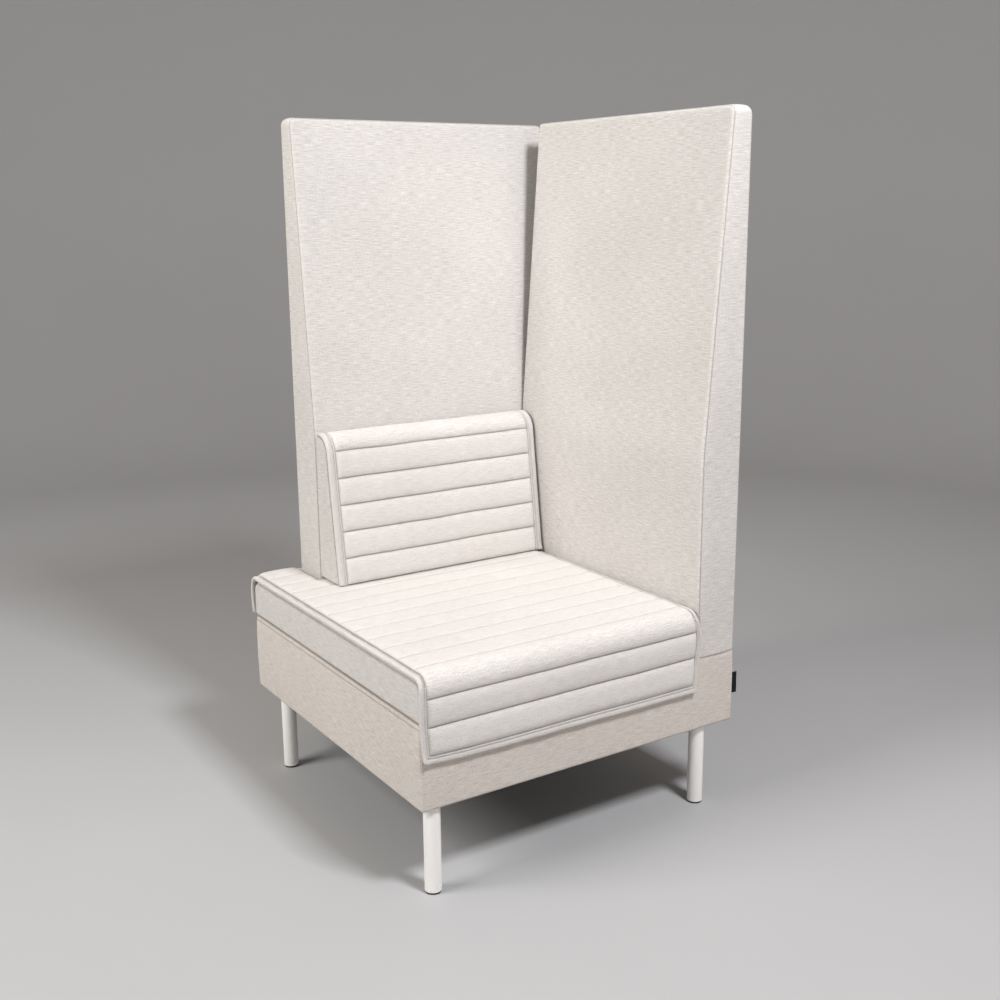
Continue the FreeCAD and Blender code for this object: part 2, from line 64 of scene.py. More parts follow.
# Screen panels
panel_top_thickness = 48 * mm
panel_taper_start = 733 * mm
side_front_radius = 18 * mm
back_left_radius = 14 * mm
panel_inner_radius = 7 * mm

# Mesh spacing and the least corner radius
wide_spacing = 14 * mm
smallest_radius = 0.4 * mm

# Seams of the smooth upholstery
seam_depth = 1.3 * mm
seam_width = 1.6 * mm
base_top_roll = 11 * mm
pressed_roll = 3 * mm
seam_shade_reach = 1.2 * mm
pad_edge_drop = 9 * mm
pad_edge_reach = 9 * mm
pad_undercut = 1.8 * mm

# Quilted covers
channel_pitch = 58.5 * mm
cushion_pitch = 57.3 * mm
cushion_first_seam = 56 * mm
cushion_seam_height = 5 * mm
cover_gap = 0.3 * mm
seat_band_width = 12 * mm
cushion_band_width = 18 * mm
band_height = 9 * mm
band_corner_radius = 7 * mm
seat_route_radius = 20 * mm
cushion_front_radius = 32 * mm
cushion_rear_radius = 8 * mm
cushion_lean = math.radians(7.4)
hidden_depth = 0.4 * mm
pillow_end = 15 * mm
pucker_size = 0.28 * mm
lump_size = 0.35 * mm
groove_height = 6.4 * mm
inner_strip_height = 7.9 * mm
soft_edge_drop = 3 * mm
soft_edge_reach = 18 * mm

# How far the seat cover strays from its pattern, in mm, and where along its route
left_bow_at = (0, 0.02, 0.05, 0.09, 0.125, 0.165)
left_bow = (-1, -2, -4, -5.5, -5, -2.5)
right_bow_at = (0, 0.02, 0.06, 0.107, 0.124, 0.14, 0.152)
right_bow = (-4, -3, 4, 9.5, 9, 3, 0)
row_shift_at = (0, 0.012, 0.0705, 0.129, 0.1875, 0.246, 0.35)
row_shift = (-4, 0, -2.5, -8, -4, -1, 0)

# Thread, staples and tab
stitch_length = 4.2 * mm
stitch_gap = 1.3 * mm
thread_radius = 0.45 * mm
thread_lift = 0.1 * mm
staple_pitch = 55 * mm
tab_cloth_thickness = 0.4 * mm


# Smooth repeatable unevenness, from about -1 to 1

def ripple(points, wavelength, seed):
    draw = np.random.RandomState(seed)
    total = np.zeros(points.shape[:-1])
    waves = 9
    for _ in range(waves):
        direction = draw.normal(size=points.shape[-1])
        direction /= np.linalg.norm(direction)
        stretch = draw.uniform(0.7, 1.5)
        phase = draw.uniform(0, 2 * math.pi)
        total += np.sin(points @ direction * stretch * 2 * math.pi / wavelength + phase)
    return total / math.sqrt(waves)


def smooth_step(value):
    value = np.clip(value, 0, 1)
    return value * value * (3 - 2 * value)


def falling(distance, reach):
    return np.exp(-np.maximum(distance, 0) / reach)


def merged(*coordinates):
    return np.stack(coordinates, -1)


# Rounded outlines. An outline is four corners, anticlockwise, each with its radius.

def unit(vector):
    return vector / np.linalg.norm(vector)


def left_of(direction):
    return np.array([-direction[1], direction[0]])


def rectangle(a0, a1, b0, b1):
    return np.array([(a0, b0), (a1, b0), (a1, b1), (a0, b1)])


def sides_at(corners, i):
    """The directions of the two sides that meet at one corner of a closed outline."""
    following = corners[(i + 1) % len(corners)]
    return unit(corners[i] - corners[i - 1]), unit(following - corners[i])


def inset_corners(corners, distance):
    moved = []
    for i, corner in enumerate(corners):
        before, after = sides_at(corners, i)
        outwards = left_of(before) + left_of(after)
        moved.append(corner + distance * outwards / (1 + before @ after))
    return moved


def arc(corner, before, after, radius, steps):
    """A rounded corner between two directions, turning left or right."""
    turn = math.acos(np.clip(before @ after, -1, 1))
    angles = np.linspace(0, turn, steps + 1)[:, None]
    inner = left_of(before) * math.copysign(1, left_of(before) @ after)
    start = corner - before * radius * math.tan(turn / 2)
    return start + radius * (before * np.sin(angles) + inner * (1 - np.cos(angles)))


@dataclass
class Outline:
    corners: np.ndarray
    radii: list
    spacing: float
    arc_steps: int = 8

    def deepest(self):
        return 0.3 * min(self.length(i) for i in range(4))

    def length(self, i):
        return np.linalg.norm(self.corners[(i + 1) % 4] - self.corners[i % 4])

    def sides(self, inset):
        """The four sides at one inset, each from one corner's middle to the next."""
        inner = inset_corners(self.corners, inset)
        arcs = [arc(inner[i], *sides_at(inner, i), max(radius - inset, smallest_radius),
                    self.arc_steps) for i, radius in enumerate(self.radii)]
        half = self.arc_steps // 2
        sides = []
        for i in range(4):
            here = arcs[i]
            there = arcs[(i + 1) % 4]
            steps = max(2, round(max(self.length(i), self.length(i + 2)) / self.spacing))
            share = np.linspace(0, 1, steps + 1)[:, None]
            straight = here[-1] + (there[0] - here[-1]) * share
            sides.append(np.vstack([here[half:-1], straight, there[1:half + 1]]))
        return sides

    def loop(self, inset):
        points = np.vstack([side[:-1] for side in self.sides(inset)])
        return np.vstack([points, points[:1]])

    def corner_runs(self):
        """How far round the loop each corner's middle is, and the run of every point."""
        run = run_lengths(self.loop(0))
        counts = [len(side) - 1 for side in self.sides(0)]
        return run, [run[sum(counts[:i])] for i in range(4)]


def run_lengths(points):
    steps = np.linalg.norm(np.diff(points, axis=0), axis=1)
    return np.concatenate([[0], np.cumsum(steps)])


def filled_grid(sides):
    """Points between four sides: rows run from the first side to the third."""
    low, right, high, left = sides
    high = high[::-1]
    left = left[::-1]
    u = (run_lengths(low) / run_lengths(low)[-1])[None, :, None]
    v = (run_lengths(left) / run_lengths(left)[-1])[:, None, None]
    ends = (1 - v) * low[None] + v * high[None] + (1 - u) * left[:, None] + u * right[:, None]
    corners = ((1 - u) * (1 - v) * low[0] + u * (1 - v) * low[-1]
               + (1 - u) * v * high[0] + u * v * high[-1])
    return ends - corners


# A piece is made of patches: grids of points, with the cloth coordinates that its weave
# follows and how much painted shade each point gets, mostly from how close it is to a seam.

class Patch:
    def __init__(self, points, cloth=None, seam=None):
        size = points.shape[:2]
        self.points = points
        self.cloth = np.zeros((*size, 2)) if cloth is None else cloth
        self.seam = np.zeros(size) if seam is None else seam


def patch_of_rows(rows):
    """Each row has its points, their cloth coordinates and their painted seam shade."""
    return Patch(*(np.array(part) for part in zip(*rows)))


def grid_cells(rows, columns):
    index = np.arange(rows * columns).reshape(rows, columns)
    return np.stack([index[:-1, :-1], index[:-1, 1:], index[1:, 1:], index[1:, :-1]], -1)


def patch_mesh(name, patches):
    points = []
    faces = []
    details = []
    first = 0
    for patch in patches:
        rows, columns = patch.points.shape[:2]
        points.append(patch.points.reshape(-1, 3))
        details.append(np.dstack([patch.cloth, patch.seam]).reshape(-1, 3))
        faces.append(first + grid_cells(rows, columns).reshape(-1, 4))
        first += rows * columns
    return closed_mesh(name, np.vstack(points), np.vstack(faces), np.vstack(details))


def closed_mesh(name, points, faces, details):
    mesh = bpy.data.meshes.new(name)
    mesh.from_pydata(points.tolist(), [], faces.tolist())
    cloth = mesh.attributes.new("cloth", "FLOAT_VECTOR", "CORNER")
    corners = np.zeros(len(mesh.loops), np.int32)
    mesh.loops.foreach_get("vertex_index", corners)
    cloth.data.foreach_set("vector", details[corners].astype(np.float32).ravel())
    shape = bmesh.new()
    shape.from_mesh(mesh)
    bmesh.ops.remove_doubles(shape, verts=shape.verts, dist=0.02 * mm)
    bmesh.ops.dissolve_degenerate(shape, edges=shape.edges, dist=0.01 * mm)
    bmesh.ops.recalc_face_normals(shape, faces=shape.faces)
    shape.to_mesh(mesh)
    shape.free()
    mesh.shade_smooth()
    return mesh


def placed(name, data):
    thing = bpy.data.objects.new(name, data)
    bpy.context.scene.collection.objects.link(thing)
    return thing


def add_piece(name, mesh, material, body="base", replaced=()):
    piece = placed(name, mesh)
    mesh.materials.append(material)
    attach(piece, body)
    if replaced:
        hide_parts(*replaced)
    return piece


# Upholstered slabs: two cushioned faces joined by a boxing strip, sewn along both edges.
# Local coordinates are a and b across the face and deep through the slab.

@dataclass
class Face:
    """One cushioned face: where it lies and how its edge rolls down to the seam."""
    depth: callable
    drop: callable
    reach: float
    inwards: int
    swell: float = 0.4 * mm
    seed: int = 1
    shade_reach: float = seam_shade_reach
    covered: bool = False

    def at(self, flat, distance):
        a, b = np.moveaxis(flat, -1, 0)
        left = 1 - np.clip(distance / self.reach, 0, 1)
        roll = self.drop(a, b) * (1 - math.sqrt(1 - left ** 2 * 0.999))
        seam = seam_depth * falling(distance, seam_width)
        pucker = 0.25 * mm * ripple(flat, 32 * mm, self.seed)
        pucker = pucker * (falling(distance, 9 * mm) - falling(distance, 1 * mm))
        swell = self.swell * ripple(flat, 0.35, self.seed) * smooth_step(distance / self.reach)
        return self.depth(a, b) + self.inwards * (roll + seam + pucker + swell)

    def shade(self, distance):
        """Painted seam shade, and a painted shadow where another piece lies on this face."""
        beneath = smooth_step((distance - 1.5 * mm) / (2 * mm)) if self.covered else 0
        return max(falling(distance, self.shade_reach), beneath)


def level(value):
    return lambda a, b: np.full_like(a, value)


# Where the rows of points lie, in mm in from the seam: close together beside it

face_insets = (0, 0.6, 1.3, 2.2, 3.5, 5.5, 8, 11, 15, 20, 26, 32)
strip_insets = (0, 0.5, 1.1, 1.9, 3, 5, 8)


def slab_face(outline, face, place):
    insets = [inset * mm for inset in face_insets if inset * mm <= outline.deepest()]
    rows = []
    for inset in insets:
        loop = outline.loop(inset + seam_depth * falling(inset, seam_width))
        rows.append((place(*loop.T, face.at(loop, inset)), loop,
                     np.full(len(loop), face.shade(inset))))
    last = insets[-1]
    grid = filled_grid(outline.sides(last + seam_depth * falling(last, seam_width)))
    middle = place(grid[..., 0], grid[..., 1], face.at(grid, last))
    beneath = np.full(grid.shape[:2], face.shade(last))
    return [patch_of_rows(rows), Patch(middle, grid, beneath)]


def slab_strip(outline, near, far, place, bulge=0.0, sewn_corners=(), weft_across=False,
               cuts=(), seam_shade=1.0):
    """The boxing strip between the two faces' seams."""
    loop = outline.loop(0)
    joint = outline.loop(seam_depth)
    inward = (joint - loop) / seam_depth
    start = near.at(joint, 0.0)
    end = far.at(joint, 0.0)
    run, corner_runs = outline.corner_runs()
    upright = np.zeros(len(loop))
    for corner in sewn_corners:
        away = np.abs(run - corner_runs[corner])
        away = np.minimum(away, run[-1] - away)
        upright = np.maximum(upright, np.exp(-(away / seam_width) ** 2))
    margin = strip_insets[-1] * mm
    middle_steps = max(2, round(np.mean(end - start) / (25 * mm)))
    levels = [np.full(len(loop), cut) for cut in cuts]
    for inset in strip_insets:
        levels += [start + inset * mm, end - inset * mm]
    for share in np.linspace(0, 1, middle_steps + 1)[1:-1]:
        levels.append(start + margin + share * (end - start - 2 * margin))
    levels.sort(key=np.mean)
    rows = []
    for deep in levels:
        away = np.minimum(deep - start, end - deep)
        across = (deep - start) / (end - start)
        sink = seam_depth * falling(away, seam_width)
        sink = sink + upright * 0.7 * seam_depth * (1 - falling(away, seam_width))
        sink = sink - bulge * np.sin(math.pi * across)
        ring = loop + inward * sink[:, None]
        cloth = np.column_stack([deep, run] if weft_across else [run, deep])
        # Painted shade along both seams and at the sewn corners.
        seam = seam_shade * np.maximum(falling(away, seam_shade_reach), upright * 0.6)
        rows.append((place(*ring.T, deep), cloth, seam))
    return patch_of_rows(rows)


def slab(name, outline, near, far, place, replaced, fill, body="base", cloth=None, **strip):
    patches = slab_face(outline, near, place) + slab_face(outline, far, place)
    patches.append(slab_strip(outline, near, far, place, **strip))
    piece = add_piece(name, patch_mesh(name, patches), cloth or smooth_cloth,
                      body, replaced)


# Materials. Fabric reads the pieces' cloth coordinates; the rest reads object coordinates.
# A mix node keeps its colours in these sockets.

mix_first_colour = 6
mix_second_colour = 7
mix_colour_result = 2


class Recipe:
    """A material being built, with short names for the nodes it needs."""

    def __init__(self, name):
        self.material = bpy.data.materials.new(name)
        self.material.use_nodes = True
        self.tree = self.material.node_tree
        self.tree.nodes.clear()
        self.shader = self.tree.nodes.new("ShaderNodeBsdfPrincipled")
        self.node("OutputMaterial", {"Surface": self.shader.outputs["BSDF"]})

    def node(self, kind, inputs, **settings):
        """A node with its settings made and its inputs set or linked."""
        node = self.tree.nodes.new("ShaderNode" + kind)
        for name, value in settings.items():
            setattr(node, name, value)
        for name, value in inputs.items():
            if isinstance(value, bpy.types.NodeSocket):
                self.tree.links.new(value, node.inputs[name])
            else:
                node.inputs[name].default_value = value
        return node.outputs

    def drive(self, name, source):
        self.tree.links.new(source, self.shader.inputs[name])

    def object_place(self):
        return self.node("TexCoord", {})["Object"]

    def attribute(self, name):
        return self.node("Attribute", {}, attribute_name=name)["Vector"]

    def split(self, vector):
        outputs = self.node("SeparateXYZ", {"Vector": vector})
        return outputs["X"], outputs["Y"], outputs["Z"]

    def scaled(self, vector, scale):
        return self.node("Mapping", {"Vector": vector, "Scale": scale})["Vector"]

    def maths(self, operation, *values):
        return self.node("Math", dict(enumerate(values)), operation=operation)["Value"]

    def mixture(self, start, parts):
        """start plus a sum of sources, each with its weight."""
        total = start
        for source, weight in parts:
            total = self.maths("ADD", total, self.maths("MULTIPLY", source, weight))
        return total

    def noise(self, vector, size, detail=2.0):
        """Noise whose spots have the given size in metres along each axis."""
        place = self.scaled(vector, [1 / length if length else 0 for length in size])
        return self.node("TexNoise", {"Vector": place, "Scale": 1.0, "Detail": detail})["Fac"]

    def cells(self, vector, size, randomness=1.0):
        inputs = {"Vector": vector, "Scale": 1 / size, "Randomness": randomness}
        return self.node("TexVoronoi", inputs)["Distance"]

    def ranged(self, value, low, high, new_low=0.0, new_high=1.0):
        inputs = {"Value": value, "From Min": low, "From Max": high, "To Min": new_low,
                  "To Max": new_high}
        return self.node("MapRange", inputs)["Result"]

    def blend(self, factor, first, second):
        inputs = {0: factor, mix_first_colour: first, mix_second_colour: second}
        return self.node("Mix", inputs, data_type="RGBA")[mix_colour_result]

    def colour(self, factor, dark, light):
        self.drive("Base Color", self.blend(factor, (*dark, 1), (*light, 1)))

    def roughness(self, value, low, high):
        self.drive("Roughness", self.ranged(value, 0.3, 0.7, low, high))

    def bump(self, height, strength, distance):
        inputs = {"Height": height, "Strength": strength, "Distance": distance}
        self.drive("Normal", self.node("Bump", inputs)["Normal"])


def thread_waves(recipe, position, pitch):
    turn = recipe.maths("MULTIPLY", position, math.pi / pitch)
    return recipe.maths("ABSOLUTE", recipe.maths("SINE", turn))


def fabric(name, dark, light, pitch, slub, bump=0.6, sheen=0.1):
    """A plain weave of flecked yarns with slubs along the weft, darkened by painted seam shade.
    """
    recipe = Recipe(name)
    cloth = recipe.attribute("cloth")
    across, along, seam = recipe.split(cloth)
    flat = recipe.scaled(cloth, (1, 1, 0))
    warp = thread_waves(recipe, across, pitch)
    weft = thread_waves(recipe, along, pitch)
    over = recipe.node("TexChecker", {"Vector": flat, "Scale": 1 / pitch})["Fac"]
    under = recipe.maths("SUBTRACT", 1.0, over)
    weave = recipe.mixture(0.0, [(over, warp), (under, weft)])
    weft_slub = recipe.noise(flat, (24 * mm, 1.7 * mm, 0), 3.0)
    warp_slub = recipe.noise(flat, (1.6 * mm, 15 * mm, 0))
    fleck = recipe.noise(flat, (1.7 * mm, 1.5 * mm, 0), 3.0)
    drift = recipe.noise(flat, (0.25, 0.2, 0))
    sources = [(weft_slub, 1.7 * slub), (warp_slub, 0.6 * slub), (fleck, 2.5), (drift, 0.3),
               (weave, 0.25)]
    total_weight = sum(weight for source, weight in sources)
    tone = recipe.mixture(0.5 - 0.52 * total_weight, sources)
    # Painted shade: the cloth is blended towards seam_shadow where its third cloth coordinate
    # marks a seam or a covered gap.
    painted_seam_shade = recipe.maths("MULTIPLY", recipe.maths("POWER", seam, 1.6), 0.75)
    woven = recipe.blend(tone, (*dark, 1), (*light, 1))
    recipe.drive("Base Color", recipe.blend(painted_seam_shade, woven, (*seam_shadow, 1)))
    recipe.roughness(fleck, 0.78, 0.95)
    surface = recipe.shader.inputs
    surface["Sheen Weight"].default_value = sheen
    surface["Sheen Roughness"].default_value = 0.45
    surface["Specular IOR Level"].default_value = 0.25
    recipe.bump(recipe.mixture(0.0, [(weave, 1.0), (weft_slub, 1.3), (fleck, 0.8)]), bump,
                0.5 * mm)
    return recipe.material


def grained(name, dark, light, size, rough, bump, detail=2.0, metallic=0.0):
    """A hard material whose tone, roughness and relief follow one fine grain."""
    recipe = Recipe(name)
    grain = recipe.noise(recipe.object_place(), size, detail)
    recipe.colour(recipe.ranged(grain, 0.35, 0.65), dark, light)
    recipe.roughness(grain, *rough)
    recipe.shader.inputs["Metallic"].default_value = metallic
    recipe.bump(grain, bump, 0.2 * mm)
    return recipe.material


def paint_material():
    """White powder coat: fine orange peel, with scuffs near the feet."""
    recipe = Recipe("white_powder_coat")
    place = recipe.object_place()
    peel = recipe.noise(place, [1.5 * mm] * 3)
    cloudy = recipe.noise(place, (33 * mm, 33 * mm, 80 * mm), 3.0)
    low_down = recipe.ranged(recipe.split(place)[2], 5 * mm, 26 * mm, 1.0, 0.0)
    scuff = recipe.ranged(recipe.noise(place, (4 * mm, 4 * mm, 7 * mm), 3.0), 0.58, 0.68)
    scuff = recipe.maths("MULTIPLY", scuff, low_down)
    recipe.colour(recipe.mixture(0.0, [(scuff, 0.5), (cloudy, 0.12)]),
                  (0.93, 0.915, 0.895), (0.42, 0.40, 0.37))
    recipe.roughness(cloudy, 0.34, 0.46)
    recipe.bump(peel, 0.12, 0.15 * mm)
    return recipe.material


def plywood_material():
    """Birch plywood: thin plies in the height, with a soft grain along them."""
    recipe = Recipe("birch_plywood")
    place = recipe.object_place()
    plies = recipe.noise(place, (70 * mm, 70 * mm, 1.5 * mm), 3.0)
    figure = recipe.noise(place, (12 * mm, 90 * mm, 12 * mm), 4.0)
    tone = recipe.ranged(recipe.mixture(0.0, [(plies, 0.6), (figure, 0.4)]), 0.38, 0.62)
    recipe.colour(tone, (0.42, 0.28, 0.16), (0.62, 0.46, 0.29))
    recipe.roughness(figure, 0.55, 0.75)
    recipe.bump(tone, 0.2, 0.3 * mm)
    return recipe.material


def felt_material():
    """Spun underlay cloth with a bonded dot pattern."""
    recipe = Recipe("spun_dust_cloth")
    flat = recipe.scaled(recipe.attribute("cloth"), (1, 1, 0))
    fibre = recipe.noise(flat, (0.6 * mm, 0.6 * mm, 0), 3.0)
    dots = recipe.ranged(recipe.cells(flat, 1.8 * mm, 0.15), 0.2, 0.35)
    tone = recipe.maths("MULTIPLY", dots, fibre)
    recipe.colour(tone, (0.015, 0.015, 0.016), (0.06, 0.06, 0.062))
    recipe.roughness(fibre, 0.8, 0.95)
    recipe.bump(tone, 0.5, 0.3 * mm)
    return recipe.material


def foam_material():
    recipe = Recipe("open_cell_foam")
    cells = recipe.cells(recipe.object_place(), 1.1 * mm)
    recipe.colour(cells, (0.5, 0.48, 0.38), (0.74, 0.72, 0.6))
    recipe.roughness(cells, 0.85, 0.98)
    recipe.bump(cells, 0.6, 0.5 * mm)
    return recipe.material


def floor_material():
    recipe = Recipe("pale_floor")
    cloudy = recipe.noise(recipe.object_place(), [0.7] * 3, 4.0)
    recipe.colour(cloudy, (0.47, 0.472, 0.478), (0.50, 0.502, 0.508))
    recipe.roughness(cloudy, 0.55, 0.65)
    return recipe.material


weave_dark = (0.55, 0.523, 0.495)
weave_light = (0.90, 0.87, 0.84)
# seam_shadow is the colour of painted shade in seams, grooves and covered gaps.
seam_shadow = (0.20, 0.175, 0.155)
smooth_cloth = fabric("smooth_woven_cloth", weave_dark, weave_light, 1.15 * mm, 1.0)
# The base's cloth is a darker, warmer copy of the smooth cloth: painted shade and painted warm
# bounce on the low base.
base_cloth_painted_shade = fabric("base_woven_cloth", (0.54, 0.495, 0.453), (0.882, 0.815, 0.76),
                    1.15 * mm, 1.0)
quilted_cloth = fabric("quilted_woven_cloth", weave_dark, weave_light, 1.15 * mm, 0.6, bump=0.4)
binding_cloth = fabric("binding_tape_cloth", weave_dark, weave_light, 0.8 * mm, 0.3)
tab_cloth = fabric("black_tab_cloth", (0.004, 0.004, 0.004), (0.018, 0.018, 0.019),
                   0.45 * mm, 0.3, sheen=0.0)
dust_cloth = felt_material()
thread = grained("sewing_thread", (0.48, 0.45, 0.41), (0.66, 0.63, 0.58),
                 [1.1 * mm] * 3, (0.5, 0.7), 0.4)
black_plastic = grained("black_glide_plastic", (0.012, 0.012, 0.013), (0.03, 0.03, 0.031),
                        [0.9 * mm] * 3, (0.42, 0.6), 0.25)
steel = grained("zinc_plated_steel", (0.46, 0.46, 0.47), (0.60, 0.60, 0.60),
                (0.4 * mm, 0.4 * mm, 8 * mm), (0.25, 0.42), 0.1, metallic=1.0)
timber = grained("pine_block", (0.46, 0.31, 0.17), (0.66, 0.49, 0.30),
                 (9 * mm, 9 * mm, 1.5 * mm), (0.55, 0.75), 0.4, detail=5.0)
slot_materials = {
    "smooth_fabric": smooth_cloth, "quilt_fabric": quilted_cloth, "binding_fabric": binding_cloth,
    "foam": foam_material(), "plywood": plywood_material(), "timber": timber,
    "white_paint": paint_material(), "steel": steel, "black_plastic": black_plastic,
    "dust_cloth": dust_cloth, "loop_tape": black_plastic, "tab_cloth": tab_cloth,
}


def finish_frame_nodes():
    for part in frame["record"]["subparts"]:
        node = frame["nodes"][part["node"]]
        node.data.materials.clear()
        node.data.materials.append(slot_materials[part["material_slot"]])


# Smooth upholstery

def tapered_face(bottom_thickness, top):
    """Depth of a panel's inner face, which leans outwards above the taper's start."""
    slope = (bottom_thickness - panel_top_thickness) / (top - panel_taper_start)
    softened = 30 * mm

    def depth(a, z):
        above = z - panel_taper_start
        rise = np.where(np.abs(above) < softened, (above + softened) ** 2 / (4 * softened),
                        np.maximum(above, 0))
        return bottom_thickness - slope * rise

    return depth


def panel(side, corners, free_radius, thickness, place, seed):
    radii = [3 * mm, 3 * mm, panel_inner_radius, free_radius]
    outline = Outline(corners, radii, wide_spacing)
    near = Face(level(0.0), level(1.2 * mm), 10 * mm, 1, 0.5 * mm, seed)
    far = Face(tapered_face(thickness, corners[2][1]), level(3 * mm), 11 * mm, -1, 0.5 * mm,
               seed + 1)
    layers = [side + layer for layer in ("_cover", "_outer_foam", "_inner_foam")]
    slab(side + "_upholstery", outline, near, far, place, layers, 0.95, bulge=1.5 * mm,
         weft_across=True)


def side_panel():
    low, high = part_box("side_panel_cover")

    def place(y, z, deep):
        return merged(high.x - deep, y, z)

    panel("side_panel", rectangle(low.y, high.y, low.z, high.z), side_front_radius,
          high.x - low.x, place, 3)


def back_panel():
    low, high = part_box("back_panel_cover")

    def place(x, z, deep):
        return merged(x, high.y - deep, z)

    panel("back_panel", rectangle(low.x, high.x, low.z, high.z), back_left_radius,
          high.y - low.y, place, 11)


def base_upholstery():
    """The base's cover: a top that rolls over the edges to a seam, and boxed sides."""
    low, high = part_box("base_cover")
    side_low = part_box("side_panel_cover")[0]
    back_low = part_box("back_panel_cover")[0]
    press = high.z - side_low.z

    def past(value, edge):
        return smooth_step((value - edge) / (12 * mm) + 0.5)

    def pressed(x, y):
        return np.maximum(past(x, side_low.x), past(y, back_low.y) * past(x, back_low.x))

    def top(x, y):
        return high.z - press * pressed(x, y)

    def roll(x, y):
        return base_top_roll + (pressed_roll - base_top_roll) * pressed(x, y)

    outline = Outline(rectangle(low.x, high.x, low.y, high.y), [3.5 * mm] * 4, wide_spacing)
    near = Face(level(low.z), level(0.6 * mm), 3 * mm, 1, seed=21)
    # Painted shadow on the top where the pad and panels lie on it; the strip's painted seam shade
    # is halved.
    far = Face(top, roll, 10 * mm, -1, seed=22, shade_reach=0.4 * mm, covered=True)
    slab("base_upholstery", outline, near, far, merged, ["base_cover"], 0.9, bulge=1.2 * mm,
         sewn_corners=(0, 1, 2, 3), seam_shade=0.5, cloth=base_cloth_painted_shade)


def end_faces(low, high, drop, seed, shade_reach=seam_shade_reach):
    """The left and right ends of a piece that lies across the chair."""
    return (Face(level(low.x), level(drop), 6 * mm, 1, seed=seed, shade_reach=shade_reach),
            Face(level(high.x), level(drop), 6 * mm, -1, seed=seed + 1))


def seat_pad():
    """The smooth pad under the quilted cover, notched for the back panel."""
    low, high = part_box("seat_pad_cover")
    back_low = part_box("back_panel_cover")[0]
    notch_x = back_low.x - cover_gap
    notch_y = back_low.y - cover_gap

    def place(y, z, x):
        height = (z - low.z) / (high.z - low.z)
        over = pad_edge_drop * falling(x - low.x, pad_edge_reach)
        under = pad_undercut * falling(x - low.x, 4 * mm)
        lifted = z + under * (1 - height) - over * height
        short = np.where(x > notch_x, np.minimum(y, notch_y), y)
        return merged(x, short, lifted)

    radii = [5 * mm, 5 * mm, 18.5 * mm, 18.5 * mm]
    outline = Outline(rectangle(low.y, high.y, low.z, high.z), radii, 12 * mm)
    # Painted shade: the pad's left end has wide seam shade, a painted dark line under the cover's
    # tape and above the base.
    slab("seat_pad_upholstery", outline, *end_faces(low, high, 2 * mm, 31, 2.6 * mm), place,
         ["seat_pad_cover", "seat_foam"], 0.85, cuts=(notch_x, notch_x + 0.05 * mm))


def cushion_slope():
    low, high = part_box("cushion_cover")
    return math.tan(cushion_lean) * (high.z - low.z)


def cushion_body():
    """The wedge inside the quilted back cover, thinner behind where the cover's tail lies."""
    low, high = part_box("cushion_cover")
    tail_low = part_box("cushion_binding_rear")[0].z
    tail_depth = band_height + 0.6 * mm

    def place(y, z, x):
        behind_tail = smooth_step((z - tail_low + 10 * mm) / (10 * mm))
        return merged(x, np.minimum(y, high.y - tail_depth * behind_tail), z)

    corners = rectangle(low.y, high.y, low.z, high.z)
    corners[3][0] += cushion_slope()
    outline = Outline(corners, [2 * mm, 3 * mm, 7 * mm, 34 * mm], 9 * mm)
    slab("cushion_upholstery", outline, *end_faces(low, high, 1.5 * mm, 41), place,
         ["cushion_cover", "cushion_foam"], 0.8, body="cushion")


# Quilted covers. A cover lies on a rounded route in the YZ plane: x runs across it and s along
# the route, and height is measured away from what it covers. stray gives the small amounts by
# which the soft cover leaves its pattern across, along and away.

class Cover:
    def __init__(self, corners, radii, stray):
        chain = np.array(corners)
        points = [chain[0]]
        for i, radius in enumerate(radii, start=1):
            points.extend(arc(chain[i], *sides_at(chain, i), radius, 59))
        points.append(chain[-1])
        coarse = np.array(points)
        run = run_lengths(coarse)
        self.length = run[-1]
        self.table = np.arange(0, self.length, 0.5 * mm)
        self.y = np.interp(self.table, run, coarse[:, 0])
        self.z = np.interp(self.table, run, coarse[:, 1])
        self.heading = np.unwrap(np.arctan2(np.gradient(self.z), np.gradient(self.y)))
        self.stray = stray

    def at(self, x, s, height):
        across, along, away = self.stray(x, s)
        s = s + along
        height = height + away
        inside = np.clip(s, 0, self.length)
        heading = np.interp(inside, self.table, self.heading)
        y = np.interp(inside, self.table, self.y) + (s - inside) * np.cos(heading)
        z = np.interp(inside, self.table, self.z) + (s - inside) * np.sin(heading)
        return merged(x + across, y - height * np.sin(heading), z + height * np.cos(heading))


def graded(start, end, crowding, spacing):
    """Stations from start to end, closer together at both ends."""
    count = max(4, round((end - start) / spacing) + 6)
    t = np.linspace(-1, 1, count + 1)
    bent = t * (1 - crowding) + crowding * np.sin(t * math.pi / 2)
    return start + (bent + 1) / 2 * (end - start)


def joined(runs):
    return np.concatenate([runs[0]] + [run[1:] for run in runs[1:]])


def seams_from(first_seams, pitch, end):
    seams = list(first_seams)
    while seams[-1] + pitch < end:
        seams.append(seams[-1] + pitch)
    return seams


def quilt_rows(stations):
    return joined([graded(a, b, 0.85, 8 * mm) for a, b in zip(stations, stations[1:])])


